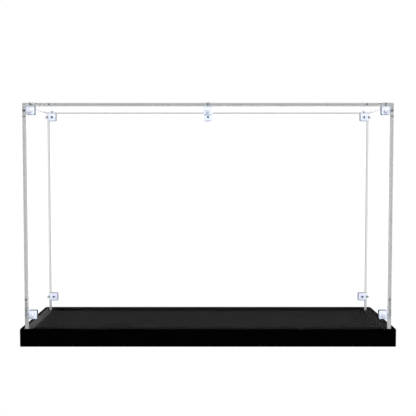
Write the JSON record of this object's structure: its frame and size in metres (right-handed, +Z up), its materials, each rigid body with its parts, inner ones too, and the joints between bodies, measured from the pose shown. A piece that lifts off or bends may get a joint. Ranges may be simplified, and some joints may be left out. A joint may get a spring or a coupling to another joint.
{
  "type": "football display case",
  "caption": "Clear box-shaped display cover, screwed together with small corner blocks, that lifts off a shallow black base.",
  "frame": {"origin": "middle of the base's underside", "axes": "+X along the length of the case, front faces -Y, +Z up"},
  "size_m": [0.38, 0.19, 0.246],
  "materials": {
    "clear_acrylic": "clear polished sheet",
    "connector_plastic": "clear moulded, faint blue",
    "screw_steel": "bright stainless",
    "black_acrylic": "black semi-gloss sheet"
  },
  "bodies": {
    "base": {"base_front_wall": "black_acrylic", "base_back_wall": "black_acrylic", "base_left_wall": "black_acrylic", "base_right_wall": "black_acrylic", "base_deck": "black_acrylic", "base_underside": "black_acrylic", "base_left_strip": "black_acrylic", "base_middle_strip": "black_acrylic", "base_right_strip": "black_acrylic"},
    "cover": {"front_panel": "clear_acrylic", "back_panel": "clear_acrylic", "left_panel": "clear_acrylic", "right_panel": "clear_acrylic", "top_panel": "clear_acrylic", "lower_front_left_connector": "connector_plastic", "lower_front_right_connector": "connector_plastic", "lower_back_left_connector": "connector_plastic", "lower_back_right_connector": "connector_plastic", "upper_front_left_connector": "connector_plastic", "upper_front_right_connector": "connector_plastic", "upper_back_left_connector": "connector_plastic", "upper_back_right_connector": "connector_plastic", "top_front_middle_connector": "connector_plastic", "top_back_middle_connector": "connector_plastic", "front_panel_screws": "screw_steel", "back_panel_screws": "screw_steel", "left_panel_screws": "screw_steel", "right_panel_screws": "screw_steel", "top_panel_screws": "screw_steel"}
  },
  "joints": [
    {"name": "cover_lift", "type": "slide", "parent": "base", "child": "cover", "axis": [0, 0, 1], "range_m": [0, 0.24]}
  ]
}
